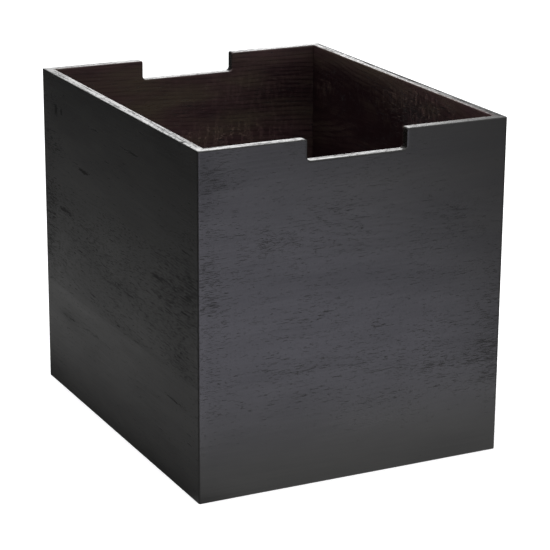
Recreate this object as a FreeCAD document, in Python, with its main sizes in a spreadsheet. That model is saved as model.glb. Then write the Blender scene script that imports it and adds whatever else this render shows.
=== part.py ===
import FreeCAD, Part

import math
import os

import Sketcher

# An open-topped storage box of black-stained oak. Each wall is three boards glued edge to edge, the walls
# meet in mitred corners held by hidden splines, and a thin bottom panel sits in a groove that runs round
# the lowest boards. The front and back walls have a shallow hand notch in the middle of the top edge.
#
# Frame: origin at the centre of the footprint on the surface the box stands on, +Z up, -Y out of the front
# wall, +X to the right of someone who faces the front. Millimetres.

DIMENSIONS = {
    "box_width": 310,  # along X, over the left and right walls
    "box_depth": 375,  # along Y, over the front and back walls
    "box_height": 325,
    "wall_thickness": 10,
    "stave_count": 3,  # boards in one wall, of equal height
    "corner_radius": 2,  # on the vertical outer corners
    "edge_radius": 1,  # on the rim, round the notches and under the walls
    "notch_width": 100,
    "notch_depth": 19.5,
    "notch_root_radius": 3.5,  # in the notch's two lower corners
    "notch_lip_radius": 2,  # where the notch's ends run out into the rim
    "panel_thickness": 8,
    "panel_lift": 8,  # from the floor up to the underside of the bottom panel
    "panel_clearance": 0.5,  # between the panel's edge and the bottom of its groove, for wood movement
    "groove_depth": 5,
    "spline_thickness": 3,
    "spline_width": 8,
    "spline_clearance": 0.25,  # glue gap past each long edge of a spline
    "spline_inset": 9,  # from the sharp outer corner, along the mitre, to the spline's middle
    "spline_start": 22,  # lower end of a spline above the floor
    "spline_finish": 295,  # upper end of a spline above the floor
}

STAVE_NAMES = ["bottom", "middle", "top"]

# Each wall is drawn as a front wall and turned about +Z: its angle, its own length and the box's size
# across it.
WALLS = {
    "front": (0, "box_width", "box_depth"),
    "right": (90, "box_depth", "box_width"),
    "back": (180, "box_width", "box_depth"),
    "left": (270, "box_depth", "box_width"),
}

NOTCHED_WALLS = ["front", "back"]

CORNERS = {
    "front_right": (1, -1),
    "back_right": (1, 1),
    "back_left": (-1, 1),
    "front_left": (-1, -1),
}

MARGIN = 5  # how far a cut's outline runs past the wood
TOLERANCE = 1e-4
UP = FreeCAD.Vector(0, 0, 1)

# Points of a sketch element, as Sketcher numbers them.
START = 1
END = 2
CENTRE = 3
ORIGIN = (-1, 1)
VERTICAL_AXIS = -2


def point(x, y):
    return FreeCAD.Vector(x, y, 0)


def add_sheet(doc):
    sheet = doc.addObject("Spreadsheet::Sheet", "Sizes")
    for row, (alias, value) in enumerate(DIMENSIONS.items(), start=1):
        sheet.set(f"A{row}", alias)
        sheet.set(f"B{row}", str(value))
        sheet.setAlias(f"B{row}", alias)
    doc.recompute()
    return sheet


def origin_plane(body, role):
    return next(item for item in body.Origin.OriginFeatures if item.Role == role)


def add_sketch(body, name, role, offset=None):
    """A sketch on one of the body's own origin planes, raised along the plane's normal by an expression."""
    sketch = body.newObject("Sketcher::SketchObject", name)
    sketch.AttachmentSupport = [(origin_plane(body, role), "")]
    sketch.MapMode = "FlatFace"
    if offset:
        sketch.setExpression("AttachmentOffset.Base.z", offset)
    return sketch


def bind(sketch, kind, places, value, expression, name):
    """Adds a named dimension and drives it from the sheet."""
    index = sketch.addConstraint(Sketcher.Constraint(kind, *places, value))
    sketch.renameConstraint(index, name)
    sketch.setExpression(f"Constraints.{name}", expression)


def add_chain(sketch, elements):
    """Adds the elements of a closed outline and joins each one's end to the next one's start."""
    first = sketch.GeometryCount
    for element in elements:
        sketch.addGeometry(element, False)
    for number in range(len(elements)):
        following = first + (number + 1) % len(elements)
        sketch.addConstraint(Sketcher.Constraint("Coincident", first + number, END, following, START))
    return first


def draw_plan(sketch, length, across):
    """The mitred outline of a wall seen from above: outer face towards -Y, its two corners rounded."""
    half = DIMENSIONS[length] / 2
    outer = -DIMENSIONS[across] / 2
    thickness = DIMENSIONS["wall_thickness"]
    radius = DIMENSIONS["corner_radius"]
    inner = outer + thickness
    reach = half - radius
    tip = radius * math.sqrt(0.5)
    right_round = Part.Circle(point(reach, outer + radius), UP, radius)
    left_round = Part.Circle(point(-reach, outer + radius), UP, radius)
    right_tip = point(reach + tip, outer + radius - tip)
    left_tip = point(-reach - tip, outer + radius - tip)
    right_root = point(half - thickness, inner)
    left_root = point(thickness - half, inner)
    down = math.radians(270)
    eighth = math.radians(45)
    add_chain(
        sketch,
        [
            Part.LineSegment(point(-reach, outer), point(reach, outer)),
            Part.ArcOfCircle(right_round, down, down + eighth),
            Part.LineSegment(right_tip, right_root),
            Part.LineSegment(right_root, left_root),
            Part.LineSegment(left_root, left_tip),
            Part.ArcOfCircle(left_round, down - eighth, down),
        ],
    )
    face, right_arc, right_mitre, back_face, left_mitre, left_arc = range(6)
    sketch.addConstraint(Sketcher.Constraint("Symmetric", face, START, face, END, VERTICAL_AXIS))
    sketch.addConstraint(Sketcher.Constraint("Symmetric", back_face, START, back_face, END, VERTICAL_AXIS))
    sketch.addConstraint(Sketcher.Constraint("Equal", right_arc, left_arc))
    for arc, mitre, end in ((right_arc, right_mitre, END), (left_arc, left_mitre, START)):
        sketch.addConstraint(Sketcher.Constraint("PointOnObject", arc, CENTRE, mitre))
        sketch.addConstraint(Sketcher.Constraint("Vertical", arc, CENTRE, face, end))
    bind(sketch, "Radius", (right_arc,), radius, "Sizes.corner_radius", "corner_radius")
    bind(
        sketch,
        "DistanceX",
        (*ORIGIN, right_arc, CENTRE),
        reach,
        f"Sizes.{length} / 2 - Sizes.corner_radius",
        "half_length",
    )
    bind(
        sketch,
        "DistanceX",
        (*ORIGIN, back_face, START),
        half - thickness,
        f"Sizes.{length} / 2 - Sizes.wall_thickness",
        "half_inner_length",
    )
    bind(sketch, "DistanceY", (face, START, *ORIGIN), -outer, f"Sizes.{across} / 2", "face_distance")
    bind(
        sketch,
        "DistanceY",
        (back_face, START, *ORIGIN),
        -inner,
        f"Sizes.{across} / 2 - Sizes.wall_thickness",
        "inner_distance",
    )


def draw_box(sketch, low, high, expressions):
    """A rectangle from low to high. expressions give the places of its left, bottom, right and top sides."""
    corners = [point(*low), point(high[0], low[1]), point(*high), point(low[0], high[1])]
    sides = [Part.LineSegment(corners[side], corners[(side + 1) % 4]) for side in range(4)]
    first = add_chain(sketch, sides)
    for side, direction in enumerate(("Horizontal", "Vertical", "Horizontal", "Vertical")):
        sketch.addConstraint(Sketcher.Constraint(direction, first + side))
    places = [
        ("DistanceX", first, START, low[0], "left"),
        ("DistanceY", first, START, low[1], "bottom"),
        ("DistanceX", first + 2, START, high[0], "right"),
        ("DistanceY", first + 2, START, high[1], "top"),
    ]
    for (kind, element, end, value, name), expression in zip(places, expressions):
        bind(sketch, kind, (*ORIGIN, element, end), value, expression, name)


def pad(body, sketch, expression, name):
    feature = body.newObject("PartDesign::Pad", name)
    feature.Profile = sketch
    feature.setExpression("Length", expression)
    sketch.Visibility = False
    body.Document.recompute()
    return feature


def cut_through(body, sketch, name):
    """Cuts the outline out of the whole body, both ways from its plane."""
    before = body.Shape.Volume
    feature = body.newObject("PartDesign::Pocket", name)
    feature.Profile = sketch
    feature.Type = "ThroughAll"
    feature.SideType = "Symmetric"
    body.Document.recompute()
    expect_less(body, before, name)
    return feature


def cut_up(body, sketch, expression, name):
    """Cuts the outline upwards from its plane, as far as the expression says."""
    before = body.Shape.Volume
    feature = body.newObject("PartDesign::Pocket", name)
    feature.Profile = sketch
    feature.Type = "Length"
    feature.setExpression("Length", expression)
    feature.Reversed = True
    body.Document.recompute()
    expect_less(body, before, name)
    return feature


def expect_less(body, before, name):
    if body.Shape.Volume > before - 1:
        raise RuntimeError(f"{body.Label}: {name} removed nothing")


def edge_names(shape, chosen):
    return [f"Edge{number}" for number, edge in enumerate(shape.Edges, start=1) if chosen(edge)]


def round_edges(body, base, chosen, expression, name):
    """Rounds the base feature's edges for which chosen(edge) is true."""
    names = edge_names(base.Shape, chosen)
    if not names:
        raise RuntimeError(f"{body.Label}: {name} found no edges")
    feature = body.newObject("PartDesign::Fillet", name)
    feature.Base = (base, names)
    feature.setExpression("Radius", expression)
    body.Document.recompute()
    return feature


def near(first, second):
    return abs(first - second) < TOLERANCE


def runs_across(edge, height):
    """True for a straight edge through the wall's thickness, at this height."""
    box = edge.BoundBox
    return near(box.YLength, DIMENSIONS["wall_thickness"]) and near(box.ZMin, height) and near(box.ZMax, height)


def on_skin(edge, across):
    """True for an edge that lies in the wall's outer or inner face, or runs on round a vertical corner."""
    box = edge.BoundBox
    outer = -DIMENSIONS[across] / 2
    inner = outer + DIMENSIONS["wall_thickness"]
    in_face = near(box.YMin, box.YMax) and (near(box.YMin, outer) or near(box.YMin, inner))
    round_corner = near(box.YMin, outer) and isinstance(edge.Curve, Part.Circle) and near(box.ZLength, 0)
    return in_face or round_corner


def cut_notch(body):
    """The hand notch, with rounded lower corners and softened lips."""
    width = DIMENSIONS["notch_width"]
    top = DIMENSIONS["box_height"]
    floor = top - DIMENSIONS["notch_depth"]
    outline = add_sketch(body, "NotchOutline", "XZ_Plane")
    draw_box(
        outline,
        (-width / 2, floor),
        (width / 2, top + MARGIN),
        [
            "-Sizes.notch_width / 2",
            "Sizes.box_height - Sizes.notch_depth",
            "Sizes.notch_width / 2",
            f"Sizes.box_height + {MARGIN}",
        ],
    )
    notch = cut_through(body, outline, "Notch")

    def in_notch(edge):
        return near(abs(edge.BoundBox.Center.x), width / 2)

    roots = round_edges(
        body,
        notch,
        lambda edge: runs_across(edge, floor) and in_notch(edge),
        "Sizes.notch_root_radius",
        "NotchRoots",
    )
    return round_edges(
        body,
        roots,
        lambda edge: runs_across(edge, top) and in_notch(edge),
        "Sizes.notch_lip_radius",
        "NotchLips",
    )


def cut_groove(body, length, across):
    """The groove for the bottom panel, along the inside of a lowest board and out through both mitres."""
    inner = -DIMENSIONS[across] / 2 + DIMENSIONS["wall_thickness"]
    root = inner - DIMENSIONS["groove_depth"]
    low = DIMENSIONS["panel_lift"]
    high = low + DIMENSIONS["panel_thickness"]
    outline = add_sketch(body, "GrooveOutline", "YZ_Plane")
    inner_place = f"-Sizes.{across} / 2 + Sizes.wall_thickness"
    draw_box(
        outline,
        (root, low),
        (inner + MARGIN, high),
        [
            f"{inner_place} - Sizes.groove_depth",
            "Sizes.panel_lift",
            f"{inner_place} + {MARGIN}",
            "Sizes.panel_lift + Sizes.panel_thickness",
        ],
    )
    return cut_through(body, outline, "Groove")


def draw_slot(sketch, side, length, across):
    """One spline slot across a mitre: a rectangle at 45 degrees, centred on the mitre. side is 1 or -1."""
    diagonal = math.sqrt(0.5)
    half_thickness = DIMENSIONS["spline_thickness"] / 2
    half_width = DIMENSIONS["spline_width"] / 2 + DIMENSIONS["spline_clearance"]
    along = point(-side * diagonal, diagonal)
    over = point(side * diagonal, diagonal)
    wall_end = point(side * DIMENSIONS[length] / 2, -DIMENSIONS[across] / 2)
    centre = wall_end + along * DIMENSIONS["spline_inset"]
    outer_middle = centre - along * half_thickness
    inner_middle = centre + along * half_thickness
    corners = [
        outer_middle - over * half_width,
        inner_middle - over * half_width,
        inner_middle + over * half_width,
        outer_middle + over * half_width,
    ]
    sides = [Part.LineSegment(corners[number], corners[(number + 1) % 4]) for number in range(4)]
    first = add_chain(sketch, sides)
    short_side, long_side, far_end, other_side = range(first, first + 4)
    for one, following in ((short_side, long_side), (long_side, far_end), (far_end, other_side)):
        sketch.addConstraint(Sketcher.Constraint("Perpendicular", one, following))
    label = "right" if side > 0 else "left"
    thickness = "Sizes.spline_thickness"
    bind(sketch, "Distance", (short_side,), 2 * half_thickness, thickness, f"{label}_thickness")
    width = "Sizes.spline_width + 2 * Sizes.spline_clearance"
    bind(sketch, "Distance", (long_side,), 2 * half_width, width, f"{label}_width")
    # The first corner lies this far along the wall, and this deep in it, from the wall's sharp end.
    reach = "(Sizes.spline_width / 2 + Sizes.spline_clearance)"
    inset = "(Sizes.spline_inset - Sizes.spline_thickness / 2)"
    place = f"{side} * (Sizes.{length} / 2 - ({inset} + {reach}) * sqrt(0.5))"
    depth = f"-Sizes.{across} / 2 + ({inset} - {reach}) * sqrt(0.5)"
    bind(sketch, "DistanceX", (*ORIGIN, short_side, START), corners[0].x, place, f"{label}_place")
    bind(sketch, "DistanceY", (*ORIGIN, short_side, START), corners[0].y, depth, f"{label}_depth")
    angle = 90 + side * 45
    bind(sketch, "Angle", (short_side,), math.radians(angle), str(angle), f"{label}_angle")


def cut_slots(body, length, across):
    outline = add_sketch(body, "SlotOutline", "XY_Plane", "Sizes.spline_start")
    for side in (1, -1):
        draw_slot(outline, side, length, across)
    return cut_up(body, outline, "Sizes.spline_finish - Sizes.spline_start", "SplineSlots")


def add_board(doc, wall, stave):
    """One board of a wall: stave 0 is the lowest. Returns its body."""
    angle, length, across = WALLS[wall]
    name = f"{wall}_board_{STAVE_NAMES[stave]}"
    body = doc.addObject("PartDesign::Body", name)
    body.Label = name
    outline = add_sketch(body, "Plan", "XY_Plane", f"Sizes.box_height / Sizes.stave_count * {stave}")
    draw_plan(outline, length, across)
    feature = pad(body, outline, "Sizes.box_height / Sizes.stave_count", "Board")
    highest = len(STAVE_NAMES) - 1
    if stave == highest and wall in NOTCHED_WALLS:
        feature = cut_notch(body)
    if stave == highest:
        rim = DIMENSIONS["box_height"] - DIMENSIONS["notch_depth"] - TOLERANCE
        feature = round_edges(
            body,
            feature,
            lambda edge: on_skin(edge, across) and edge.BoundBox.ZMin > rim,
            "Sizes.edge_radius",
            "RimEdges",
        )
    if stave == 0:
        feature = round_edges(
            body,
            feature,
            lambda edge: on_skin(edge, across) and near(edge.BoundBox.ZMax, 0),
            "Sizes.edge_radius",
            "FootEdges",
        )
        feature = cut_groove(body, length, across)
    feature = cut_slots(body, length, across)
    body.Tip = feature
    body.Placement = FreeCAD.Placement(point(0, 0), FreeCAD.Rotation(UP, angle))
    return body


def add_bottom_panel(doc):
    """The flat bottom, its edges in the grooves of the four lowest boards."""
    panel = doc.addObject("Part::Box", "bottom_panel")
    panel.Label = "bottom_panel"
    overlap = "(Sizes.groove_depth - Sizes.panel_clearance - Sizes.wall_thickness)"
    panel.setExpression("Length", f"Sizes.box_width + 2 * {overlap}")
    panel.setExpression("Width", f"Sizes.box_depth + 2 * {overlap}")
    panel.setExpression("Height", "Sizes.panel_thickness")
    panel.setExpression("Placement.Base.x", f"-Sizes.box_width / 2 - {overlap}")
    panel.setExpression("Placement.Base.y", f"-Sizes.box_depth / 2 - {overlap}")
    panel.setExpression("Placement.Base.z", "Sizes.panel_lift")
    return panel


def add_spline(doc, corner):
    """The loose tongue in one corner's mitre, thin along the mitre and wide across it."""
    side_x, side_y = CORNERS[corner]
    name = f"corner_spline_{corner}"
    spline = doc.addObject("Part::Box", name)
    spline.Label = name
    spline.setExpression("Length", "Sizes.spline_thickness")
    spline.setExpression("Width", "Sizes.spline_width")
    spline.setExpression("Height", "Sizes.spline_finish - Sizes.spline_start")
    # Length points from the box's corner to its middle, and Width lies to the left of Length.
    angle = math.degrees(math.atan2(-side_y, -side_x))
    spline.Placement = FreeCAD.Placement(point(0, 0), FreeCAD.Rotation(UP, angle))
    near_face = "(Sizes.spline_inset - Sizes.spline_thickness / 2) * sqrt(0.5)"
    half_width = "Sizes.spline_width / 2 * sqrt(0.5)"
    spline.setExpression(
        "Placement.Base.x",
        f"{side_x} * (Sizes.box_width / 2 - {near_face}) + {-side_y} * {half_width}",
    )
    spline.setExpression(
        "Placement.Base.y",
        f"{side_y} * (Sizes.box_depth / 2 - {near_face}) + {side_x} * {half_width}",
    )
    spline.setExpression("Placement.Base.z", "Sizes.spline_start")
    return spline


def check_and_export(doc, pieces):
    """Stops on any failed object or bad shape, then writes one STEP file per piece."""
    for item in doc.Objects:
        if "Invalid" in item.State or "Error" in item.State:
            raise RuntimeError(f"{item.Name} failed to compute: {item.State}")
    for piece in pieces:
        shape = piece.Shape
        if shape.isNull() or not shape.isValid() or len(shape.Solids) != 1:
            raise RuntimeError(f"{piece.Label} has a bad shape")
    os.makedirs("parts", exist_ok=True)
    for piece in pieces:
        piece.Shape.exportStep(f"parts/{piece.Label}.step")
        print(f"{piece.Label}: {piece.Shape.Volume / 1000:.1f} cm3")


def main():
    doc = FreeCAD.newDocument("StorageBox")
    add_sheet(doc)
    pieces = [add_board(doc, wall, stave) for wall in WALLS for stave in range(len(STAVE_NAMES))]
    pieces.append(add_bottom_panel(doc))
    pieces.extend(add_spline(doc, corner) for corner in CORNERS)
    doc.recompute()
    check_and_export(doc, pieces)


main()
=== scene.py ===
import math

import bmesh
import bpy
import numpy as np
from mathutils import Matrix, Vector


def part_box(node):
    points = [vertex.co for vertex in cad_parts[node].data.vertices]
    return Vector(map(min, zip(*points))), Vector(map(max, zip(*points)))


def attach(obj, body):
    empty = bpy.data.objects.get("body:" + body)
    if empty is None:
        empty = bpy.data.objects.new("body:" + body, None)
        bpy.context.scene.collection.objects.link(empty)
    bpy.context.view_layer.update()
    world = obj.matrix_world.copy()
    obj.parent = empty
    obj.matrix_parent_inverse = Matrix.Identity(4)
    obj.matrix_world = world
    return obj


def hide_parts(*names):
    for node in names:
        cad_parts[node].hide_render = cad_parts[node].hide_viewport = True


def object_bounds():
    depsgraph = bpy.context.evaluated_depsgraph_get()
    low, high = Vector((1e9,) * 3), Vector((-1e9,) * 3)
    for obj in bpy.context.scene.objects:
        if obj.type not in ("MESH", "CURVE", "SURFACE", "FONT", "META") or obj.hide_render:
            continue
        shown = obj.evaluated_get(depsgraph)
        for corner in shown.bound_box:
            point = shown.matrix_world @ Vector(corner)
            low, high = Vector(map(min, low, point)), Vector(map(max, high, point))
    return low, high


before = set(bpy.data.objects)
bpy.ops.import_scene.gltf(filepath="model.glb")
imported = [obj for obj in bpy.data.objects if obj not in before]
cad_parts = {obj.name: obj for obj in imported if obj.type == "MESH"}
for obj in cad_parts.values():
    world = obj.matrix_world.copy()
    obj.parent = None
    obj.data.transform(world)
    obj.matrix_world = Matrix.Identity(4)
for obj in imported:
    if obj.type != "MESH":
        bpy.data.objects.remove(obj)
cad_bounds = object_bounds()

# An open box of black-stained oak, each board a closed mesh, with the photograph's light and view.

# Sizes of the real box, in metres. They repeat the ones the CAD is drawn from.
THICK = 0.010  # wall thickness
CORNER = 0.002  # radius of the upright corners
EDGE = 0.001  # radius of the rims and of the feet of the walls
NOTCH_HALF = 0.050
NOTCH_DEPTH = 0.0195
NOTCH_ROOT = 0.0035  # radius at the bottom corners of the hand notch
NOTCH_LIP = 0.002  # radius where the notch meets the rim
GROOVE_LOW = 0.008  # the groove for the bottom panel
GROOVE_HIGH = 0.016
GROOVE_DEPTH = 0.005
SLOT_NEAR = 0.0075  # the spline slot, measured along the mitre from the outer corner
SLOT_FAR = 0.0105
SLOT_DEPTH = 0.00425
SLOT_LOW = 0.022
SLOT_HIGH = 0.295

# What the joints look like, which the CAD leaves out.
SEAM = 0.00004  # how far the glued edges are eased, so that the glue lines show as hairlines
SEAM_FADE = 0.010  # the relief of the surface fades out over this much beside a glue line
MITRE_FADE = 0.008  # the same beside a mitre

# How finely the pieces are meshed.
STEP_ALONG = 0.002
STEP_UP = 0.001
NOTCH_BLEND = 0.012  # how far beside the notch the mesh lines are pulled to follow it
CORNER_STEPS = 5
EDGE_STEPS = 5
RIM_STEPS = 8
ARC_STEPS = 6
LIP_STEPS = 4
PANEL_STEP = 0.005

ANGLES = {"front": 0, "right": 90, "back": 180, "left": 270}
LAYERS = ("bottom", "middle", "top")

low, high = cad_bounds
WIDTH = high.x - low.x
DEPTH = high.y - low.y
HEIGHT = high.z
LENGTHS = {"front": WIDTH, "back": WIDTH, "left": DEPTH, "right": DEPTH}


# ---------------------------------------------------------------- numbers


def spaced(start, stop, step):
    """Evenly spaced numbers from start to stop, about step apart."""
    return np.linspace(start, stop, max(2, round(abs(stop - start) / step) + 1))


def quarter_turn(steps):
    return np.linspace(0, math.pi / 2, steps + 1)


def ramp(values, start, stop):
    """Goes from 0 to 1 while values go from start to stop."""
    return np.clip((values - start) / (stop - start), 0, 1)


def value_noise(places, seed):
    """Smooth noise from -1 to 1 at each row of places, which counts in cells of the noise."""
    size = 32  # the noise repeats after this many cells
    table = np.random.default_rng(seed).random((size, size, size))
    cell = np.floor(places).astype(int)
    part = places - cell
    part = part * part * (3 - 2 * part)
    total = np.zeros(len(places))
    for i, j, k in np.ndindex(2, 2, 2):
        weight = np.abs(1 - i - part[:, 0]) * np.abs(1 - j - part[:, 1]) * np.abs(1 - k - part[:, 2])
        corner = (cell + (i, j, k)) % size
        total += weight * table[corner[:, 0], corner[:, 1], corner[:, 2]]
    return 2 * total - 1


def bump(values, middle, width):
    """A smooth bump of height 1 round middle."""
    return np.exp(-(((values - middle) / width) ** 2))


# ---------------------------------------------------------------- meshes


class Shell:
    """Collects patches and flat polygons, and welds them into one closed mesh."""

    WELD = 2e-7  # points closer than this become one
    SHARP = math.radians(40)  # edges that turn by more than this stay sharp

    def __init__(self):
        self.points = []
        self.faces = []
        self.count = 0

    def add(self, points):
        points = np.asarray(points, float).reshape(-1, 3)
        first = self.count
        self.points.append(points)
        self.count += len(points)
        return first

    def patch(self, points):
        """Four-sided faces over a grid of points: rows, columns, 3."""
        rows, columns = points.shape[:2]
        index = self.add(points) + np.arange(rows * columns).reshape(rows, columns)
        corners = (index[:-1, :-1], index[:-1, 1:], index[1:, 1:], index[1:, :-1])
        self.faces.extend(np.stack(corners, -1).reshape(-1, 4).tolist())

    def polygon(self, points):
        first = self.add(points)
        self.faces.append(list(range(first, self.count)))

    def welded(self):
        """The points without repeats, and the faces over them."""
        points = np.concatenate(self.points)
        keys = np.round(points / self.WELD).astype(np.int64)
        _, kept, merged = np.unique(keys, axis=0, return_index=True, return_inverse=True)
        merged = merged.ravel()
        faces = []
        for face in self.faces:
            corners = merged[face].tolist()
            corners = [c for n, c in enumerate(corners) if c != corners[n - 1]]
            if len(corners) > 2:
                faces.append(corners)
        return points[kept], faces

    def mesh(self, name):
        points, faces = self.welded()
        mesh = bpy.data.meshes.new(name)
        mesh.from_pydata(points.tolist(), [], faces)
        draft = bmesh.new()
        draft.from_mesh(mesh)
        bmesh.ops.recalc_face_normals(draft, faces=draft.faces)
        draft.to_mesh(mesh)
        draft.free()
        mesh.polygons.foreach_set("use_smooth", np.ones(len(mesh.polygons), bool))
        mesh.set_sharp_from_angle(angle=self.SHARP)
        return mesh


def level_outline(x, z, direction):
    """The outline of a face along a level edge that faces up, with direction 1, or down, with -1."""
    return x, z + 0 * x, 0 * x, direction + 0 * x


class Notch:
    """The hand notch as the flat of a face goes round it: from the middle of its floor by the root, the side
    and the lip to the rim at the right. All round, the rounded edge of the rim comes on top of it."""

    def __init__(self, rim):
        root = NOTCH_ROOT + EDGE
        lip = NOTCH_LIP - EDGE
        self.rim = rim
        self.side = NOTCH_HALF + EDGE
        self.floor = rim - NOTCH_DEPTH
        self.shoulder = self.floor + root
        self.arc = quarter_turn(ARC_STEPS)[::-1]
        self.arc_x = self.side - root * (1 - np.cos(self.arc))
        self.arc_z = self.shoulder - root * np.sin(self.arc)
        self.flat_x = spaced(0, self.arc_x[0], STEP_ALONG)
        self.wall_z = spaced(self.shoulder, rim - lip, STEP_UP)
        self.bend = quarter_turn(LIP_STEPS)
        self.lip_x = self.side + lip * (1 - np.cos(self.bend))
        self.lip_z = rim - lip + lip * np.sin(self.bend)

    def floor_line(self):
        """x and z of the floor and both roots, from left to right."""
        flat, arc_x, arc_z = self.flat_x, self.arc_x, self.arc_z
        x = np.concatenate([-arc_x[:0:-1], -flat[:0:-1], flat, arc_x[1:]])
        z = np.concatenate([arc_z[:0:-1], self.floor + 0 * flat[1:], self.floor + 0 * flat, arc_z[1:]])
        return x, z

    def side_line(self):
        """x and z of the right side, from the root up to the rim."""
        x = np.concatenate([self.side + 0 * self.wall_z, self.lip_x[1:]])
        z = np.concatenate([self.wall_z, self.lip_z[1:]])
        return x, z

    def outline(self, rim_x):
        """The face's whole top outline, where rim_x goes along the rim at the right."""
        right_half = [
            (self.flat_x, self.floor, 0, 1),
            (self.arc_x[1:], self.arc_z[1:], -np.cos(self.arc[1:]), np.sin(self.arc[1:])),
            (self.side, self.wall_z[1:-1], -1, 0),
            (self.lip_x, self.lip_z, -np.cos(self.bend), np.sin(self.bend)),
            (rim_x, self.rim, 0, 1),
        ]
        runs = [np.broadcast_arrays(*run) for run in right_half]
        values = [np.concatenate(parts).astype(float) for parts in zip(*runs)]
        mirror = (-1, 1, -1, 1)
        return tuple(np.concatenate([sign * v[:0:-1], v]) for v, sign in zip(values, mirror))


class Board:
    """One board of a wall, in the wall's own axes: x along the wall, y inwards from its outer face, z up.

    Both faces are laid out on the same chart, which has z and, along the board, an x that goes from mitre to
    mitre of the outer face. An outline of a face is a tuple of chart x, chart z and the two parts of its
    outward direction. The rounded edges and the rim are built along the outlines."""

    def __init__(self, length, low, high, layer, notched, relief):
        self.half = length / 2
        self.low, self.high = low, high
        self.is_lowest = layer == "bottom"
        self.is_highest = layer == "top"
        self.notched = notched
        self.relief = relief
        self.top_edge = EDGE if self.is_highest else SEAM
        self.bottom_edge = EDGE if self.is_lowest else SEAM
        self.reach = self.half - CORNER  # where the round of the upright corner begins
        self.shell = Shell()

    # From the chart to points in space.

    def outer(self, x):
        """Plan position and outward direction on the outer face, which goes round the upright corners."""
        side = np.sign(x)
        turn = np.clip((np.abs(x) - self.reach) / CORNER, 0, 1) * math.pi / 4
        along = side * (np.minimum(np.abs(x), self.reach) + CORNER * np.sin(turn))
        return along, CORNER * (1 - np.cos(turn)), side * np.sin(turn), -np.cos(turn)

    def end_share(self, x):
        """0 in the middle of the board, 1 at its mitres."""
        return ramp(np.abs(x), NOTCH_HALF + NOTCH_BLEND, self.half)

    def place(self, x, z, inside, away=(0.0, 0.0), turn=0.0, edge=0.0):
        """Points of a face, or of the rounded edge that it has in the direction away: a turn of 0 is on the
        face and a quarter turn on the rim."""
        back = edge * (1 - np.cos(turn))
        zeros = np.zeros(np.broadcast(x, z).shape)
        if inside:
            px = x - np.sign(x) * (THICK - back) * self.end_share(x)
            py = THICK - back
            nx, ny = 0.0, 1.0
        else:
            px, py, nx, ny = self.outer(x)
            px = px - nx * back
            py = py - ny * back
        run, rise = np.sin(turn), np.cos(turn)
        points = [zeros + px + away[0] * edge * run, zeros + py, zeros + z + away[1] * edge * run]
        normals = [zeros + nx * rise + away[0] * run, zeros + ny * rise, zeros + away[1] * run]
        return self.worn(np.stack(points, -1), np.stack(normals, -1))

    def worn(self, points, normals):
        """Sinks the surface by the relief, but not at the joints."""
        flat = points.reshape(-1, 3)
        to_mitre = self.half - flat[:, 1].clip(0, THICK) - np.abs(flat[:, 0])
        fade = ramp(to_mitre, 0, MITRE_FADE)
        if not self.is_highest:
            fade = fade * ramp(self.high - flat[:, 2], 0, SEAM_FADE)
        if not self.is_lowest:
            fade = fade * ramp(flat[:, 2] - self.low, 0, SEAM_FADE)
        depth = (self.relief(flat) * fade).reshape(points.shape[:-1])
        return points - normals * depth[..., None]

    # The two faces.

    def faces(self):
        """Adds both faces. Keeps their outlines, which are the same, and the heights at which the mesh of
        each face meets the mitres."""
        self.end_levels = {}
        for inside in (False, True):
            if self.notched:
                self.notched_face(inside)
            else:
                self.plain_face(inside)

    def add_face(self, x, z, inside):
        self.shell.patch(self.place(x, z, inside))

    def corner_columns(self):
        """Chart x of the columns round the upright corner at the right."""
        return self.reach + CORNER * np.linspace(0, 1, CORNER_STEPS + 1)[1:]

    def plain_face(self, inside):
        bottom, top = self.low + self.bottom_edge, self.high - self.top_edge
        round_corner = self.corner_columns()
        middle = spaced(-self.reach, self.reach, STEP_ALONG)
        x = np.concatenate([-round_corner[::-1], middle, round_corner])
        runs = [spaced(bottom, top, STEP_UP)]
        if inside and self.is_lowest:
            runs = [spaced(bottom, GROOVE_LOW, STEP_UP), spaced(GROOVE_HIGH, top, STEP_UP)]
        for run in runs:
            self.add_face(*np.meshgrid(x, run), inside)
        self.end_levels[inside] = runs
        self.top_outline = level_outline(x, top, 1)
        self.bottom_outline = level_outline(x, bottom, -1)

    def notched_face(self, inside):
        """A face with the hand notch: a block under the notch, and on each side one below the notch's
        shoulder and one above it, where the columns are pulled to follow the notch."""
        bottom, top = self.low + self.bottom_edge, self.high - self.top_edge
        notch = Notch(top)
        lower_z = spaced(bottom, notch.shoulder, STEP_UP)

        floor_x, floor_z = notch.floor_line()
        share = (lower_z - bottom) / (notch.shoulder - bottom)
        under_x = np.broadcast_to(floor_x, (len(lower_z), len(floor_x)))
        self.add_face(under_x, bottom + share[:, None] * (floor_z - bottom), inside)

        blend = NOTCH_HALF + NOTCH_BLEND
        near = spaced(notch.side, blend, STEP_ALONG)
        far = spaced(blend, self.reach, STEP_ALONG)
        beside = np.concatenate([near[:-1], far, self.corner_columns()])
        pull = ramp(beside, blend, notch.side)
        side_x, upper_z = notch.side_line()
        upper_x = beside + pull * (side_x - notch.side)[:, None]
        upper_rows = np.broadcast_to(upper_z[:, None], upper_x.shape)
        for sign in (-1, 1):
            order = slice(None, None, sign)
            self.add_face(*np.meshgrid(sign * beside[order], lower_z), inside)
            self.add_face(sign * upper_x[:, order], upper_rows, inside)

        self.end_levels[inside] = [np.concatenate([lower_z, upper_z[1:]])]
        self.top_outline = notch.outline(upper_x[-1][1:])
        low_x = np.concatenate([-beside[::-1], floor_x[1:-1], beside])
        self.bottom_outline = level_outline(low_x, bottom, -1)

    # The edges, the glued faces and the mitred ends.

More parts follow.
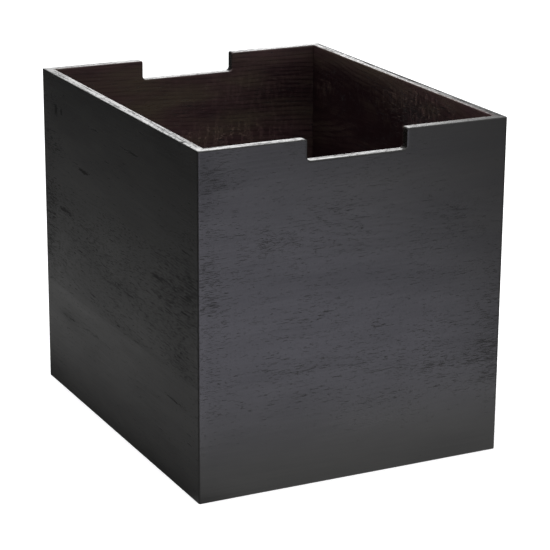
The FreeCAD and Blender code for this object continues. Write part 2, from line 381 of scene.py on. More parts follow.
    def rounded_edges(self, outline, edge, is_free):
        """Adds the rounded edges along an outline. Returns two lists of rings of points, in order from the
        outer face inwards: up to the middle of the thickness, and from there to the inner face."""
        x, z, *away = outline
        turns = quarter_turn(EDGE_STEPS if is_free else 1)
        outer = [self.place(x, z, False, away, turn, edge) for turn in turns]
        inner = [self.place(x, z, True, away, turn, edge) for turn in turns[::-1]]
        self.shell.patch(np.stack(outer))
        self.shell.patch(np.stack(inner))
        if is_free:
            shares = np.linspace(0, 1, RIM_STEPS + 1)
            across = [outer[-1] * (1 - share) + inner[0] * share for share in shares]
            self.shell.patch(np.stack(across))
            outer = outer + across[1:-1]
        return outer, inner

    def glue_face(self, outer, inner):
        """The flat face against the next board, cut by the spline slots."""
        level = outer[0, 2]
        right_slot, left_slot = self.slot_corners(1, level), self.slot_corners(-1, level)
        self.shell.polygon(np.concatenate([outer, right_slot, inner[::-1], left_slot[::-1]]))

    def slot_corners(self, side, z):
        """The corners of the spline slot in one mitre, from the one nearest the outside round the slot."""
        plan = ((SLOT_NEAR, 0), (SLOT_NEAR, SLOT_DEPTH), (SLOT_FAR, SLOT_DEPTH), (SLOT_FAR, 0))
        slant = math.sqrt(0.5)
        corners = []
        for far, deep in plan:
            corners.append((side * (self.half - (far + deep) * slant), (far - deep) * slant, z))
        return np.array(corners)

    def groove(self):
        """The groove for the bottom panel."""
        x = self.bottom_outline[0]
        depth = THICK - GROOVE_DEPTH
        floor_x = x - np.sign(x) * depth * self.end_share(x)
        levels = (GROOVE_LOW, GROOVE_HIGH)
        floor = [np.stack([floor_x, depth + 0 * x, z + 0 * x], -1) for z in levels]
        lip_low, lip_high = (self.place(x, z, True) for z in levels)
        self.shell.patch(np.stack([lip_low, *floor, lip_high]))

    def end_column(self, side, inside):
        """The points where one face meets a mitre, from the bottom up."""
        column = []
        for run in self.end_levels[inside]:
            if column:
                depth = THICK - GROOVE_DEPTH
                column += [(side * (self.half - depth), depth, z) for z in (GROOVE_LOW, GROOVE_HIGH)]
            column += list(self.place(np.full(len(run), side * self.half), run, inside))
        return column

    def mitre(self, side, top_rings, bottom_rings):
        """The flat end of the board, round the spline slot."""
        end = -1 if side > 0 else 0
        top = [[ring[end] for ring in rings] for rings in top_rings]
        bottom = [[ring[end] for ring in rings] for rings in bottom_rings]
        slot_low = SLOT_LOW if self.is_lowest else self.low
        slot_high = SLOT_HIGH if self.is_highest else self.high
        bottom_corners = self.slot_corners(side, slot_low)
        top_corners = self.slot_corners(side, slot_high)
        near_low, _, _, far_low = bottom_corners
        near_high, _, _, far_high = top_corners
        outer = bottom[0][:0:-1] + self.end_column(side, False) + top[0][1:]
        inner = top[1][:-1] + self.end_column(side, True)[::-1] + bottom[1][-2::-1]
        if self.is_highest:
            self.shell.polygon(outer + inner + [far_low, far_high, near_high, near_low])
        elif self.is_lowest:
            self.shell.polygon(outer + [near_high, near_low, far_low, far_high] + inner)
        else:
            self.shell.polygon(outer + [near_high, near_low])
            self.shell.polygon([far_low, far_high] + inner)
        self.shell.patch(np.stack([bottom_corners, top_corners]))
        if self.is_lowest:
            self.shell.polygon(bottom_corners)
        if self.is_highest:
            self.shell.polygon(top_corners)

    def build(self, name):
        """The whole board as a closed mesh."""
        self.faces()
        top = self.rounded_edges(self.top_outline, self.top_edge, self.is_highest)
        bottom = self.rounded_edges(self.bottom_outline, self.bottom_edge, self.is_lowest)
        if not self.is_highest:
            self.glue_face(top[0][-1], top[1][0])
        if not self.is_lowest:
            self.glue_face(bottom[0][-1], bottom[1][0])
        if self.is_lowest:
            self.groove()
        for side in (1, -1):
            self.mitre(side, top, bottom)
        return self.shell.mesh(name)


# ---------------------------------------------------------------- wood


class Wood:
    """The grain of one board, as numbers at points of the wall, whose x runs along the grain.

    seed: a number of its own for each board
    pith: depth and height of the tree's middle, which the growth rings go round, outside the board
    tilt: how much deeper the pith gets along the board
    spacing: from one growth ring to the next, in metres
    wander: how far the fibres stray from straight, in metres
    pores, tone: how much thicker the pores lie, and how much lighter the stain is, than usual
    marks: places that differ. Each has what differs, its middle, its half sizes and the amount."""

    BOARD_SHIFT = 7.3  # moves each board's noise to other cells than its neighbour's
    GRAIN_SHIFT = (0.37, 0.11, 0.53)  # moves each board to a place of its own in the material's wood
    PLANING = 0.00003  # half the depth of the waves that planing left
    RING_RELIEF = 0.000008  # half the depth of the rings

    def __init__(self, seed, pith, tilt=0.1, spacing=0.004, wander=0.003, pores=0.0, tone=0.0, marks=()):
        self.seed = seed
        self.pith_depth, self.pith_height = pith
        self.tilt = tilt
        self.spacing = spacing
        self.wander = wander
        self.pores = pores
        self.tone = tone
        self.marks = marks

    def noise(self, points, cells, number):
        """The board's noise of that number, in cells of the given sizes in metres."""
        places = points / np.array(cells) + self.BOARD_SHIFT * self.seed
        return value_noise(places, 100 * self.seed + number)

    def grain(self, points):
        """The points moved into the wandering direction of the fibres, at a place of its own in the wood."""
        drift = self.wander * self.noise(points, (0.11, 0.05, 0.05), 1)
        drift = drift + 0.25 * self.wander * self.noise(points, (0.03, 0.02, 0.02), 2)
        offset = np.array(self.GRAIN_SHIFT) * self.seed
        return points + offset + np.stack([0 * drift, drift, drift], -1)

    def rings(self, points):
        """How many growth rings lie between the pith and each point."""
        bend = self.wander * 2 * self.noise(points, (0.14, 0.1, 0.1), 3)
        across = points[:, 2] - self.pith_height + bend
        deep = points[:, 1] - self.pith_depth - self.tilt * points[:, 0]
        return np.hypot(across, deep) / self.spacing + 0.5 * self.noise(points, (0.05, 0.02, 0.02), 4)

    def marked(self, points, what):
        """The total of the marks of one sort at each point."""
        total = np.zeros(len(points))
        for kind, middle, half, amount in self.marks:
            if kind == what:
                near = (points - np.array(middle)) / np.array(half)
                total += amount * np.exp(-(near**2).sum(-1))
        return total

    def porosity(self, points):
        """How thick the pores lie: 0 is usual."""
        clouds = 0.25 * self.noise(points, (0.07, 0.03, 0.03), 5)
        clouds = clouds + 0.3 * self.noise(points, (0.05, 0.008, 0.012), 6)
        return self.pores + clouds + self.marked(points, "pores")

    def stain(self, points):
        """How light the stain is, with the painted light and shade that some tone marks add: 0 is usual."""
        clouds = 0.5 * self.noise(points, (0.12, 0.05, 0.05), 7)
        clouds = clouds + 0.25 * self.noise(points, (0.04, 0.012, 0.012), 8)
        return self.tone + clouds + self.marked(points, "tone")

    def relief(self, points):
        """How far the surface lies under flat: the planing, the rings and any dents."""
        planing = self.PLANING * (1 + self.noise(points, (0.05, 0.02, 0.014), 9))
        rings = self.RING_RELIEF * (1 + np.cos(2 * math.pi * self.rings(points)))
        return planing + rings + self.marked(points, "dent")


MARK_DEPTH = 0.004  # how far a mark on a face reaches into the board
RIM_MARK_DEPTH = 0.003  # how far down a mark on the rim reaches


def on_outside(what, x, height, half_x, half_height, amount):
    """A mark on the outer face of a wall."""
    return what, (x, 0.0, height), (half_x, MARK_DEPTH, half_height), amount


def on_inside(what, x, height, half_x, half_height, amount):
    """A mark on the inner face of a wall."""
    return what, (x, THICK, height), (half_x, MARK_DEPTH, half_height), amount


def on_rim(what, x, y, half_x, half_y, amount):
    """A mark on the rim of a wall."""
    return what, (x, y, HEIGHT), (half_x, half_y, RIM_MARK_DEPTH), amount


# What the photograph shows on each wall. Where pores crowd in a narrow strip, they make a dark slash.
FRONT_MARKS = (
    on_outside("pores", -0.146, 0.200, 0.014, 0.110, 0.8),
    on_outside("pores", 0.146, 0.120, 0.014, 0.080, 0.8),
    on_outside("pores", -0.085, 0.238, 0.020, 0.014, 0.9),
    on_outside("pores", 0.100, 0.243, 0.018, 0.012, 1.1),
    on_outside("pores", 0.080, 0.100, 0.080, 0.020, 0.5),
    on_outside("pores", 0.110, 0.300, 0.050, 0.030, -0.9),
    on_outside("pores", -0.080, 0.045, 0.080, 0.025, -0.4),
    on_outside("pores", 0.000, 0.005, 0.300, 0.032, -1.2),
    on_outside("pores", -0.135, 0.300, 0.020, 0.014, 0.8),
    # Painted shade: the top of the left corner darkened, where the rounded corner would catch light.
    on_outside("tone", -0.150, 0.300, 0.012, 0.025, -2.4),
    # Painted highlight: a lighter strip down the rounded left corner.
    on_outside("tone", -0.152, 0.110, 0.005, 0.120, 1.0),
    on_outside("tone", -0.010, 0.270, 0.120, 0.022, 0.8),
    on_outside("tone", 0.010, 0.183, 0.110, 0.020, -0.9),
    on_outside("tone", 0.030, 0.050, 0.110, 0.030, 0.9),
    on_rim("streaks", 0.150, 0.005, 0.025, 0.008, 0.9),
)
CHIP = (0.150, 0.0, HEIGHT), (0.0023, 0.0030, 0.0024)  # middle and half sizes
LEFT_MARKS = (
    on_outside("pores", 0.000, 0.172, 0.250, 0.048, 0.6),
    on_outside("pores", -0.175, 0.175, 0.020, 0.060, 0.9),
    on_outside("pores", 0.135, 0.195, 0.050, 0.035, 0.9),
    on_outside("pores", 0.172, 0.220, 0.020, 0.070, 0.7),
    on_outside("pores", 0.150, 0.130, 0.030, 0.020, 0.6),
    on_outside("pores", -0.082, 0.244, 0.013, 0.0018, 4.5),
    on_outside("pores", -0.130, 0.192, 0.017, 0.0018, 2.6),
    on_outside("pores", 0.100, 0.188, 0.012, 0.0016, 2.2),
    on_outside("pores", -0.151, 0.290, 0.0035, 0.0050, 4.0),
    on_outside("pores", -0.137, 0.291, 0.0035, 0.0040, 4.0),
    on_outside("pores", -0.170, 0.280, 0.025, 0.060, 0.7),
    on_outside("pores", -0.120, 0.255, 0.050, 0.020, 0.5),
    on_outside("pores", 0.040, 0.290, 0.030, 0.0014, 2.8),
    on_outside("pores", -0.050, 0.292, 0.012, 0.0014, 2.6),
    on_outside("pores", 0.062, 0.314, 0.010, 0.0012, 3.0),
    on_outside("pores", -0.128, 0.081, 0.030, 0.0016, 0.9),
    on_outside("pores", -0.055, 0.083, 0.035, 0.0014, 1.6),
    on_outside("pores", 0.134, 0.081, 0.024, 0.0015, 2.6),
    on_outside("tone", -0.090, 0.102, 0.090, 0.006, 0.9),
    on_outside("tone", 0.085, 0.304, 0.012, 0.005, 1.2),
    on_outside("tone", -0.128, 0.082, 0.020, 0.005, -1.3),
    on_outside("tone", 0.030, 0.320, 0.300, 0.018, -0.9),
    on_outside("tone", 0.000, 0.190, 0.120, 0.030, 0.6),
    # A chip out of the outer edge of the rim, near the front corner: its darkness and its depth in metres.
    ("chip", *CHIP, 3.0),
    ("dent", *CHIP, 0.0009),
)
BACK_MARKS = (
    # Painted light and shade: these tone marks lighten and darken patches of the inner face to follow the
    # light that comes in over the rim.
    on_inside("tone", 0.090, 0.290, 0.120, 0.090, 0.6),
    on_inside("tone", 0.000, 0.235, 0.070, 0.025, 0.5),
    on_inside("tone", -0.120, 0.285, 0.050, 0.030, -1.1),
    on_inside("tone", -0.120, 0.230, 0.060, 0.025, 0.5),
    on_inside("tone", -0.090, 0.325, 0.030, 0.014, 1.2),
    # rays marks: where oak's ray fleck shows, with painted light specks and painted glints (painted
    # highlights).
    on_inside("rays", -0.030, 0.236, 0.070, 0.014, 1.2),
    on_inside("rays", -0.060, 0.280, 0.080, 0.030, 0.3),
)
RIGHT_MARKS = (
    # Painted shade: the inner face darker along its whole length, most in the deep middle.
    on_inside("tone", 0.000, 0.220, 1.000, 0.160, -1.4),
    # Painted sheen: a lighter strip along the top of the inner face.
    on_inside("tone", 0.000, 0.327, 1.000, 0.014, 1.9),
    on_inside("tone", -0.070, 0.290, 0.050, 0.030, 0.6),
    on_inside("pores", -0.050, 0.295, 0.060, 0.022, 1.2),
    # rays marks: where oak's ray fleck shows, with painted light specks and painted glints (painted
    # highlights).
    on_inside("rays", -0.060, 0.302, 0.080, 0.024, 1.5),
    on_inside("rays", 0.150, 0.285, 0.030, 0.015, 0.5),
    on_rim("streaks", 0.030, 0.001, 0.130, 0.003, 1.8),
    on_rim("streaks", -0.110, 0.0045, 0.060, 0.0013, 1.3),
    on_rim("streaks", -0.185, 0.005, 0.030, 0.008, 0.9),
)

FRONT_WOOD = {"wander": 0.0008, "pores": -0.3, "marks": FRONT_MARKS}
RIGHT_WOOD = {"marks": RIGHT_MARKS}
LEFT_WOOD = {"wander": 0.002, "marks": LEFT_MARKS}
WOODS = {
    "front_board_top": Wood(1, (-0.045, 0.262), spacing=0.0035, **FRONT_WOOD),
    "front_board_middle": Wood(2, (-0.060, 0.150), **FRONT_WOOD),
    "front_board_bottom": Wood(3, (-0.050, 0.030), **FRONT_WOOD),
    "right_board_top": Wood(4, (-0.050, 0.270), spacing=0.0035, pores=-0.3, **RIGHT_WOOD),
    "right_board_middle": Wood(5, (-0.070, 0.170), pores=-0.2, **RIGHT_WOOD),
    "right_board_bottom": Wood(6, (-0.040, 0.060), pores=-0.4, **RIGHT_WOOD),
    "back_board_top": Wood(7, (0.050, 0.185), tilt=-0.16, wander=0.007, pores=-0.2, marks=BACK_MARKS),
    "back_board_middle": Wood(8, (-0.060, 0.160), pores=-0.3),
    "back_board_bottom": Wood(9, (-0.050, 0.050), pores=-0.1),
    "left_board_top": Wood(10, (-0.060, 0.290), spacing=0.005, pores=-0.3, **LEFT_WOOD),
    "left_board_middle": Wood(11, (-0.030, 0.150), spacing=0.003, pores=-0.1, **LEFT_WOOD),
    "left_board_bottom": Wood(12, (-0.050, 0.030), pores=-0.5, tone=0.2, **LEFT_WOOD),
}
PANEL_WOOD = Wood(13, (-0.3, 0.0))


MITRE_SOAK = 0.0006  # how far from a mitre its end grain shows
MITRE_LOSS = 0.6  # how much less of it shows at the inner face than at the outer one
NOTCH_SOAK = 0.001  # how far from the side of the hand notch its end grain shows
INNER_START = (0.6, 0.9)  # the shares of the thickness between which the inner stain takes over
RIM_START = (0.0006, 0.0010)  # the distances from the nearer face between which a face becomes a rim


def mesh_points(mesh):
    """The mesh's vertices, a row of x, y and z for each."""
    points = np.empty(len(mesh.vertices) * 3)
    mesh.vertices.foreach_get("co", points)
    return points.reshape(-1, 3)


def store(mesh, name, columns):
    """Keeps three numbers for each vertex, for the material to read."""
    layer = mesh.attributes.new(name, "FLOAT_VECTOR", "POINT")
    layer.data.foreach_set("vector", np.stack(columns, -1).astype(np.float32).ravel())


def store_grain(mesh, wood, points):
    """Stores what every piece of wood has."""
    store(mesh, "grain", wood.grain(points).T)
    store(mesh, "figure", (wood.rings(points), wood.porosity(points), wood.stain(points)))


def end_grain(points, half):
    """1 where a fibre's end takes up more stain: along the mitres and on the sides of the hand notch."""
    x, y, z = np.abs(points[:, 0]), points[:, 1], points[:, 2]
    mitre = bump(half - y - x, 0, MITRE_SOAK) * (1 - MITRE_LOSS * y / THICK)
    in_wall = (y > EDGE / 2) & (y < THICK - EDGE / 2)
    in_notch = (z > HEIGHT - NOTCH_DEPTH) & (z < HEIGHT - NOTCH_LIP)
    notch_side = (in_wall & in_notch) * bump(x, NOTCH_HALF, NOTCH_SOAK)
    return np.maximum(mitre, notch_side)


def add_wood(mesh, wood, half):
    """Stores a board's numbers on its mesh, which is still in its wall's own axes. inner is 1 on the inner
    face and rim is 1 between the faces."""
    points = mesh_points(mesh)
    depth = points[:, 1]
    inner = ramp(depth / THICK, *INNER_START)
    rim = ramp(np.minimum(depth, THICK - depth), *RIM_START)
    store_grain(mesh, wood, points)
    # The third number of finish, from the rays marks, is where ray fleck, painted light specks and painted
    # glints show.
    store(mesh, "finish", (inner, end_grain(points, half), wood.marked(points, "rays")))
    store(mesh, "edge", (rim, wood.marked(points, "streaks"), wood.marked(points, "chip")))


# ---------------------------------------------------------------- materials


class Graph:
    """A material's or a world's nodes, built from the values that go into them."""

    def __init__(self, owner):
        owner.use_nodes = True
        self.tree = owner.node_tree

    def feed(self, value, socket):
        """Links an output to the input socket, or sets the input to a plain value."""
        if isinstance(value, bpy.types.NodeSocket):
            self.tree.links.new(value, socket)
        elif isinstance(value, tuple) and len(value) == 3 and socket.type == "RGBA":
            socket.default_value = (*value, 1)
        else:
            socket.default_value = value

    def node(self, kind, inputs, output=0, **settings):
        """Adds a node, with its inputs by name or number, and returns one of its outputs."""
        node = self.tree.nodes.new("ShaderNode" + kind)
        for name, value in settings.items():
            setattr(node, name, value)
        for key, value in inputs.items():
            self.feed(value, node.inputs[key])
        return node.outputs[output]

    def attribute(self, name):
        return self.node("Attribute", {}, "Vector", attribute_name=name)

    def split(self, vector):
        outputs = self.node("SeparateXYZ", {0: vector}).node.outputs
        return outputs[0], outputs[1], outputs[2]

    def math(self, operation, *values):
        return self.node("Math", dict(enumerate(values)), operation=operation)

    def add(self, *values):
        total = values[0]
        for value in values[1:]:
            total = self.math("ADD", total, value)
        return total

    def times(self, *values):
        total = values[0]
        for value in values[1:]:
            total = self.math("MULTIPLY", total, value)
        return total

    def rest(self, value):
        """What is left up to 1."""
        return self.math("SUBTRACT", 1.0, value)

    def centred(self, noise, amount):
        """Noise from 0 to 1 moved to lie round 0, times amount."""
        return self.times(self.math("SUBTRACT", noise, 0.5), amount)

    def higher(self, first, second):
        return self.math("MAXIMUM", first, second)

    def stretch(self, vector, scale):
        return self.node("VectorMath", {0: vector, 1: scale}, operation="MULTIPLY")

    def noise(self, vector, scale, detail=0.0):
        """Noise from 0 to 1, with scale cells to the metre along each axis."""
        return self.node("TexNoise", {"Vector": self.stretch(vector, scale), "Scale": 1.0, "Detail": detail})

    def smooth(self, value, start, stop, at_start=0.0, at_stop=1.0):
        """Goes smoothly from at_start to at_stop while value goes from start to stop."""
        return self.node(
            "MapRange",
            {"Value": value, "From Min": start, "From Max": stop, "To Min": at_start, "To Max": at_stop},
            interpolation_type="SMOOTHSTEP",
        )

    def blend(self, share, first, second):
        """The colour that goes from first to second as share goes from 0 to 1."""
        mixer = self.tree.nodes.new("ShaderNodeMix")
        mixer.data_type = "RGBA"
        self.feed(share, mixer.inputs["Factor"])
        self.feed(first, mixer.inputs["A"])
        self.feed(second, mixer.inputs["B"])
        return mixer.outputs["Result"]


def finish_material(graph, colour, roughness, height, depth):
    """Plugs the results into the surface. depth is the height's full range in metres."""
    surface = graph.tree.nodes["Principled BSDF"]
    normal = graph.node("Bump", {"Strength": 1.0, "Distance": depth, "Height": height}, "Normal")
    graph.feed(colour, surface.inputs["Base Color"])
    graph.feed(roughness, surface.inputs["Roughness"])
    graph.feed(normal, surface.inputs["Normal"])


def oak_pores(g, grain, crowding):
    """Dark strokes of three sizes along the grain. The more crowding, the more of them show."""
    coarse = g.smooth(g.add(g.noise(grain, (60.0, 1100.0, 1100.0)), crowding), 0.79, 0.83)
    long = g.smooth(g.add(g.noise(grain, (120.0, 2300.0, 2300.0)), crowding), 0.745, 0.775)
    short = g.smooth(g.add(g.noise(grain, (220.0, 2800.0, 2800.0)), crowding), 0.745, 0.785)
    return g.higher(coarse, g.higher(long, g.times(short, 0.8)))


def oak_stain(g, light, clouds, inner):
    """The stain's colour, from dark to light: black on the outside, and red-brown to olive on the inside.
    The light it is given holds painted light and shade too.
    """
    outside = g.blend(light, (0.0085, 0.0084, 0.0080), (0.0205, 0.0200, 0.0190))
    red_or_olive = g.blend(g.smooth(clouds, 0.3, 0.7), (0.083, 0.046, 0.049), (0.077, 0.058, 0.043))
    inside = g.blend(light, (0.0095, 0.0020, 0.0036), red_or_olive)
    return g.blend(inner, outside, inside)


def rim_wear(g, grain, flecks, show_streaks):
    """How much rougher the rims are than the faces, in streaks along them and in flecks."""
    streaks = g.noise(grain, (24.0, 400.0, 400.0), 1.0)
    streakiness = g.add(g.centred(streaks, 0.8), g.times(show_streaks, streaks, 0.7))
    return g.add(-0.08, streakiness, g.centred(flecks, 0.8))


def stained_oak():
    """Open-pored oak under stain: short dark pores along the grain, slightly thicker where each year's ring
    begins, faint fibres, uneven stain, rays that lighten it, partly as oak's ray fleck and partly as painted
    light specks, and painted glints (painted highlights) where the board has them, darker end grain, streaky
    rims and a rough dark chip."""
    material = bpy.data.materials.new("stained_oak")
    g = Graph(material)
    grain = g.attribute("grain")
    ring, porosity, stain = g.split(g.attribute("figure"))
    inner, end_grain, show_rays_and_glints = g.split(g.attribute("finish"))
    rim, show_streaks, chip = g.split(g.attribute("edge"))

    early = g.rest(g.smooth(g.math("FRACT", ring), 0.0, 0.5))
    pores = oak_pores(g, grain, g.add(g.times(early, 0.03), g.times(porosity, 0.12)))
    fibres = g.noise(grain, (16.0, 800.0, 800.0), 2.0)
    clouds = g.noise(grain, (12.0, 45.0, 45.0), 3.0)
    rays = g.smooth(g.noise(grain, (280.0, 60.0, 60.0), 1.0), 0.50, 0.66)
    flecks = g.noise(grain, (230.0, 420.0, 420.0), 2.0)
    # Painted glints: the brightest flecks, painted into the colour as highlights.
    painted_glints = g.smooth(flecks, 0.60, 0.66)

    # How light the stain is. The tone marks bring painted light and shade into it, and the rays lighten it,
    # partly as oak's ray fleck and partly as painted light specks.
    light = g.add(
        0.5,
        g.times(stain, 0.35),
        g.centred(fibres, 0.9),
        g.centred(clouds, 0.9),
        g.times(early, g.add(-0.05, g.times(inner, -0.25))),
        g.times(rays, show_rays_and_glints, 0.7),
    )
    colour = oak_stain(g, light, clouds, inner)
    # Painted highlights: light specks blended into the colour where the rays marks are.
    colour = g.blend(g.times(painted_glints, show_rays_and_glints, 0.35), colour, (0.24, 0.17, 0.14))
    soaked = g.add(g.times(end_grain, 0.6), chip)
    colour = g.blend(g.higher(g.times(pores, 0.9), soaked), colour, (0.002, 0.0015, 0.0015))

    roughness = g.add(
        0.34,
        g.times(pores, 0.3),
        g.times(g.math("SUBTRACT", 0.5, light), 0.12),
        g.times(rim, rim_wear(g, grain, flecks, show_streaks)),
        g.times(chip, 0.5),
    )
    height = g.add(g.times(pores, -1.0), g.times(fibres, 0.25), g.times(flecks, rim, 0.4))
    finish_material(g, colour, roughness, height, 0.00012)
    return material


def stained_panel():
    """Thin stained panel: finer and more even than the boards."""
    material = bpy.data.materials.new("stained_panel")
    g = Graph(material)
    grain = g.attribute("grain")
    _, porosity, stain = g.split(g.attribute("figure"))
    pores = g.noise(grain, (140.0, 1500.0, 1500.0), 1.0)
    pores = g.smooth(g.add(pores, g.times(porosity, 0.1)), 0.62, 0.74)
    fibres = g.noise(grain, (14.0, 600.0, 600.0), 2.0)
    light = g.add(0.5, g.times(stain, 0.3), g.centred(fibres, 1.0))
    colour = g.blend(light, (0.015, 0.0075, 0.006), (0.045, 0.026, 0.020))
    colour = g.blend(g.times(pores, 0.7), colour, (0.003, 0.002, 0.002))
    roughness = g.add(0.45, g.times(pores, 0.2))
    height = g.add(g.times(pores, -1.0), g.times(fibres, 0.2))
    finish_material(g, colour, roughness, height, 0.0001)
    return material


def bare_wood():
    """Pale unfinished beech, for the splines: fine flecks along their length."""
    material = bpy.data.materials.new("bare_wood")
    g = Graph(material)
    place = g.node("TexCoord", {}, "Object")
    flecks = g.noise(place, (1800.0, 1800.0, 220.0), 1.0)
    tone = g.noise(place, (150.0, 150.0, 12.0), 3.0)
    colour = g.blend(tone, (0.50, 0.32, 0.17), (0.66, 0.46, 0.28))
    colour = g.blend(g.smooth(flecks, 0.58, 0.72), colour, (0.36, 0.20, 0.10))
    finish_material(g, colour, g.add(0.55, g.times(flecks, 0.2)), flecks, 0.00005)
    return material


# ---------------------------------------------------------------- pieces


def add_piece(mesh, node, material):
    """Puts a detailed piece in the place of the CAD node it stands for."""
    mesh.materials.append(material)
    piece = bpy.data.objects.new(node + "_detail", mesh)
    bpy.context.scene.collection.objects.link(piece)
    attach(piece, "root")
    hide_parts(node)


def build_boards(material):
    """Each board is built in its wall's own axes and then turned into its place."""
    for wall, angle in ANGLES.items():
        other = "left" if wall in ("front", "back") else "front"
        turn = Matrix.Rotation(math.radians(angle), 4, "Z")
        to_row = turn @ Matrix.Translation((0, -LENGTHS[other] / 2, 0))
        for layer in LAYERS:
            node = f"{wall}_board_{layer}"
            bottom, top = (corner.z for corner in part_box(node))
            notched = layer == "top" and wall in ("front", "back")
            wood = WOODS[node]
            mesh = Board(LENGTHS[wall], bottom, top, layer, notched, wood.relief).build(node)
            add_wood(mesh, wood, LENGTHS[wall] / 2)
            mesh.transform(to_row)
            add_piece(mesh, node, material)


def border(points):
    """The points round the edge of a grid, in order, ending where they begin."""
    return np.concatenate([points[0], points[1:, -1], points[-1, -2::-1], points[-2::-1, 0]])


def build_panel(material):
    """The bottom panel, with eased edges and its grain from front to back."""
    node = "bottom_panel"
    bottom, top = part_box(node)
    ease = 0.0004  # how much the edges are cut back
    x = spaced(bottom.x + ease, top.x - ease, PANEL_STEP)
    y = spaced(bottom.y + ease, top.y - ease, PANEL_STEP)
    grid_x, grid_y = np.meshgrid(x, y)
    level = 0 * grid_x
    upper = np.stack([grid_x, grid_y, level + top.z], -1)
    lower = np.stack([grid_x, grid_y, level + bottom.z], -1)

    def pushed_out(points, z):
        """The border moved out onto the panel's sides."""
        right, left = points[:, 0] >= x[-1], points[:, 0] <= x[0]
        far, near = points[:, 1] >= y[-1], points[:, 1] <= y[0]
        out_x = points[:, 0] + (np.where(right, ease, 0) - np.where(left, ease, 0))
        out_y = points[:, 1] + (np.where(far, ease, 0) - np.where(near, ease, 0))
        return np.stack([out_x, out_y, z + 0 * out_x], -1)

    top_rim, bottom_rim = border(upper), border(lower)
    sides = [pushed_out(top_rim, top.z - ease), pushed_out(bottom_rim, bottom.z + ease)]
    shell = Shell()
    shell.patch(upper)
    shell.patch(lower)
    shell.patch(np.stack([top_rim, *sides, bottom_rim]))
    mesh = shell.mesh(node)
    store_grain(mesh, PANEL_WOOD, mesh_points(mesh)[:, [1, 2, 0]])
    add_piece(mesh, node, material)


def paint_splines(material):
    """The splines are inside the corners, so their CAD shapes are enough."""
    for name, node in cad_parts.items():
        if name.startswith("corner_spline"):
            node.data.materials.clear()
            node.data.materials.append(material)


# ---------------------------------------------------------------- studio


CAMERA_AT = (-0.8883, -1.8055, 0.7747)
CAMERA_TURN = (-26.522, 17.471, 0.409)  # azimuth, elevation and roll, in degrees
CAMERA_LENS = 140.97
SENSOR_WIDTH = 36.0


def add_camera():
    """The photograph's view: a long lens, slightly rolled."""
    data = bpy.data.cameras.new("camera")
    data.sensor_width = SENSOR_WIDTH
    data.lens = CAMERA_LENS
    azimuth, elevation, roll = (math.radians(angle) for angle in CAMERA_TURN)
    flat = math.cos(elevation)
    back = Vector((math.sin(azimuth) * flat, -math.cos(azimuth) * flat, math.sin(elevation)))
    right = Vector((math.cos(azimuth), math.sin(azimuth), 0.0))
    up = back.cross(right)
    rolled_right = right * math.cos(roll) + up * math.sin(roll)
    rolled_up = up * math.cos(roll) - right * math.sin(roll)
    turn = Matrix((rolled_right, rolled_up, back)).transposed()
    camera = bpy.data.objects.new("camera", data)
    camera.matrix_world = Matrix.Translation(CAMERA_AT) @ turn.to_4x4()
    bpy.context.scene.collection.objects.link(camera)
    bpy.context.scene.camera = camera


def strip_behind(g, along_x, along_y):
    """A painted lit strip in the floor's glow for reflections, beside the box, behind on the left where the
    rest is painted dark.
    """
    out = g.times(along_x, -1.0)
    strip = g.times(g.smooth(out, -0.03, 0.08), g.smooth(out, 0.09, 0.38, 0.43, 0.0))
    return g.add(0.02, g.times(strip, g.smooth(along_y, 0.15, 0.60, 0.5, 0.82)))


def pool_in_front(g, along_x, along_y):
    """A painted pool of light in the floor's glow for reflections, in front of the box. It fades to the
    right, and a painted dark cut-off ends it where the front wall mirrors the floor beyond the box's right
    side."""
    # Painted shade: the pool dims towards the box's front wall.
    near = g.smooth(along_y, -0.34, 0.0, 1.0, 0.46)
    seen_at = g.add(along_x, g.times(along_y, 0.49))
    painted_right_cutoff = g.smooth(seen_at, WIDTH + 0.04, WIDTH + 0.12, 1.0, 0.0)
    fading = g.times(g.smooth(along_x, 0.36, 0.92, 1.7, 0.0), painted_right_cutoff)
    return g.times(g.add(0.2, fading), near)


def floor_shine(g, position):
    """The floor as reflections see it, a painted glow that no lamp lights: the painted pool of light in
    front, slightly blue where it is bright, and the painted dark with its lit strip behind on the left,
    beyond a slanting line through the box's front left corner."""
    from_corner = g.node("VectorMath", {0: position, 1: (low.x, low.y, 0.0)}, operation="SUBTRACT")
    along_x, along_y, _ = g.split(from_corner)
    beyond = g.times(g.math("SUBTRACT", along_y, along_x), math.sqrt(0.5))
    # Painted dark: 1 beyond the slanting line, where the floor's glow for reflections is cut.
    flag = g.smooth(beyond, -0.05, 0.03)
    pool = pool_in_front(g, along_x, along_y)
    blue = g.smooth(pool, 0.9, 1.7)
    tint = g.blend(g.times(blue, g.rest(flag)), (1.0, 1.0, 1.0), (1.0, 0.98, 1.18))
    strength = g.add(g.times(g.rest(flag), pool), g.times(flag, strip_behind(g, along_x, along_y)))
    return g.node("Emission", {"Color": tint, "Strength": strength})


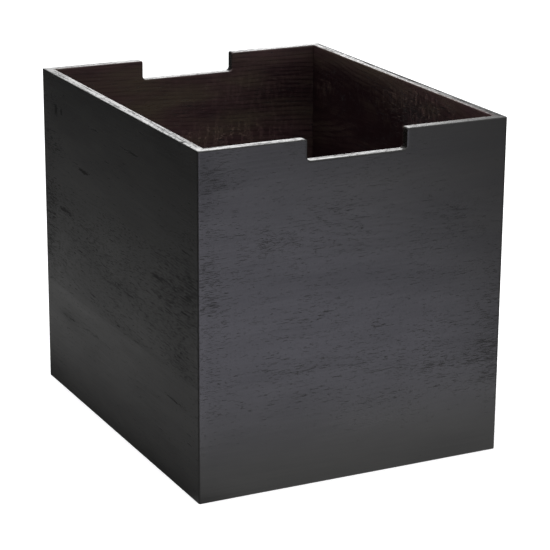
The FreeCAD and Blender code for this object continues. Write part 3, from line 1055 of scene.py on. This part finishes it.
def add_floor():
    """A white floor with no edge in sight. The camera sees a little added light, as in an overexposed
    backdrop."""
    size = 30.0
    corners = [(-size, -size, 0), (size, -size, 0), (size, size, 0), (-size, size, 0)]
    mesh = bpy.data.meshes.new("floor")
    mesh.from_pydata(corners, [], [(0, 1, 2, 3)])
    floor = bpy.data.objects.new("floor", mesh)
    bpy.context.scene.collection.objects.link(floor)
    material = bpy.data.materials.new("floor")
    mesh.materials.append(material)
    g = Graph(material)
    g.tree.nodes.remove(g.tree.nodes["Principled BSDF"])
    light_path = g.node("LightPath", {}).node.outputs
    position = g.node("NewGeometry", {}, "Position")
    white = g.node("BsdfDiffuse", {"Color": (0.85, 0.85, 0.86)})
    added = g.times(light_path["Is Camera Ray"], 0.5)
    glow = g.node("Emission", {"Color": (1.0, 1.0, 1.0), "Strength": added})
    seen = g.node("AddShader", {0: white, 1: glow})
    # Painted reflection: reflected rays see the floor's painted glow instead of the lit white floor.
    painted_reflection = floor_shine(g, position)
    surface = g.node("MixShader", {0: light_path["Is Glossy Ray"], 1: seen, 2: painted_reflection})
    g.feed(surface, g.tree.nodes["Material Output"].inputs["Surface"])


def add_world():
    """White for the camera. For the box and the floor, an overhead softbox that fades towards the horizon, a
    black flag low behind on the left, and a bright panel low behind the box, which the rims reflect."""
    world = bpy.data.worlds.new("studio")
    bpy.context.scene.world = world
    g = Graph(world)
    x, y, z = g.split(g.node("TexCoord", {}, "Generated"))
    bearing = g.math("DEGREES", g.math("ARCTAN2", x, y))
    rise = g.math("DEGREES", g.math("ARCSINE", z))
    flag_width = g.times(g.smooth(bearing, -110.0, -80.0), g.smooth(bearing, 0.0, 8.0, 1.0, 0.0))
    flag = g.times(flag_width, g.smooth(rise, 20.0, 42.0, 1.0, 0.0))
    softbox = g.times(g.add(0.34, g.times(z, z, 1.7)), g.rest(g.times(flag, 0.97)))
    panel_width = g.times(g.smooth(bearing, 13.0, 27.0), g.smooth(bearing, 29.0, 32.0, 1.0, 0.0))
    panel_height = g.times(g.smooth(rise, 2.0, 7.0), g.smooth(rise, 26.0, 40.0, 1.0, 0.0))
    light = g.add(softbox, g.times(panel_width, panel_height, 2.9))
    is_camera = g.node("LightPath", {}, "Is Camera Ray")
    strength = g.add(g.times(g.rest(is_camera), light), g.times(is_camera, 1.2))
    background = g.tree.nodes["Background"]
    g.feed((1.0, 1.0, 1.0), background.inputs["Color"])
    g.feed(strength, background.inputs["Strength"])


# ---------------------------------------------------------------- the scene


add_camera()
add_floor()
add_world()
build_boards(stained_oak())
build_panel(stained_panel())
paint_splines(bare_wood())

bpy.context.scene.view_settings.view_transform = "Standard"
